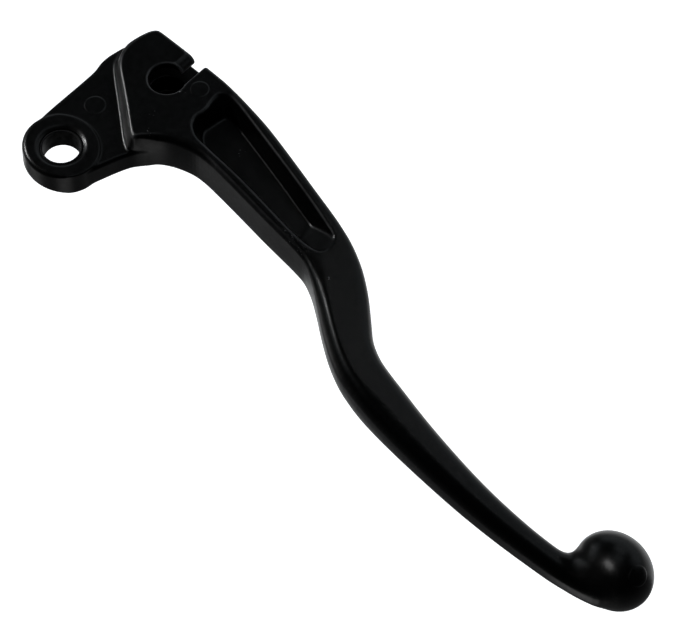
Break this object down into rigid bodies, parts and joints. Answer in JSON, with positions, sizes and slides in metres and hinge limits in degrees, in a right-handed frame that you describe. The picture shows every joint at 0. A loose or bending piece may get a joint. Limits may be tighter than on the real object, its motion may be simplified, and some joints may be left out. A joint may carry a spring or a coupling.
{
  "type": "clutch lever",
  "caption": "Motorcycle clutch lever with a pivot boss, raised cable-nipple block, recessed blade and ball end, swinging on a pivot sleeve.",
  "frame": {"origin": "on the pivot axis, at mid-thickness of the pivot boss", "axes": "+Z along the pivot axis, out of the face with the raised block; +X from the pivot to the ball end; +Y towards the front edge, away from the handlebar"},
  "size_m": [0.1838, 0.0469, 0.0186],
  "materials": {
    "black_coated_aluminium": "semi-gloss black coating over a smooth casting",
    "sleeve_steel": "dark turned steel"
  },
  "bodies": {
    "pivot": {"pivot_sleeve": "sleeve_steel"},
    "lever": {"lever_blade": "black_coated_aluminium"}
  },
  "joints": [
    {"name": "lever_swing", "type": "hinge", "parent": "pivot", "child": "lever", "pos_m": [0, 0, 0], "axis": [0, 0, 1], "range_deg": [-28, 0]}
  ]
}
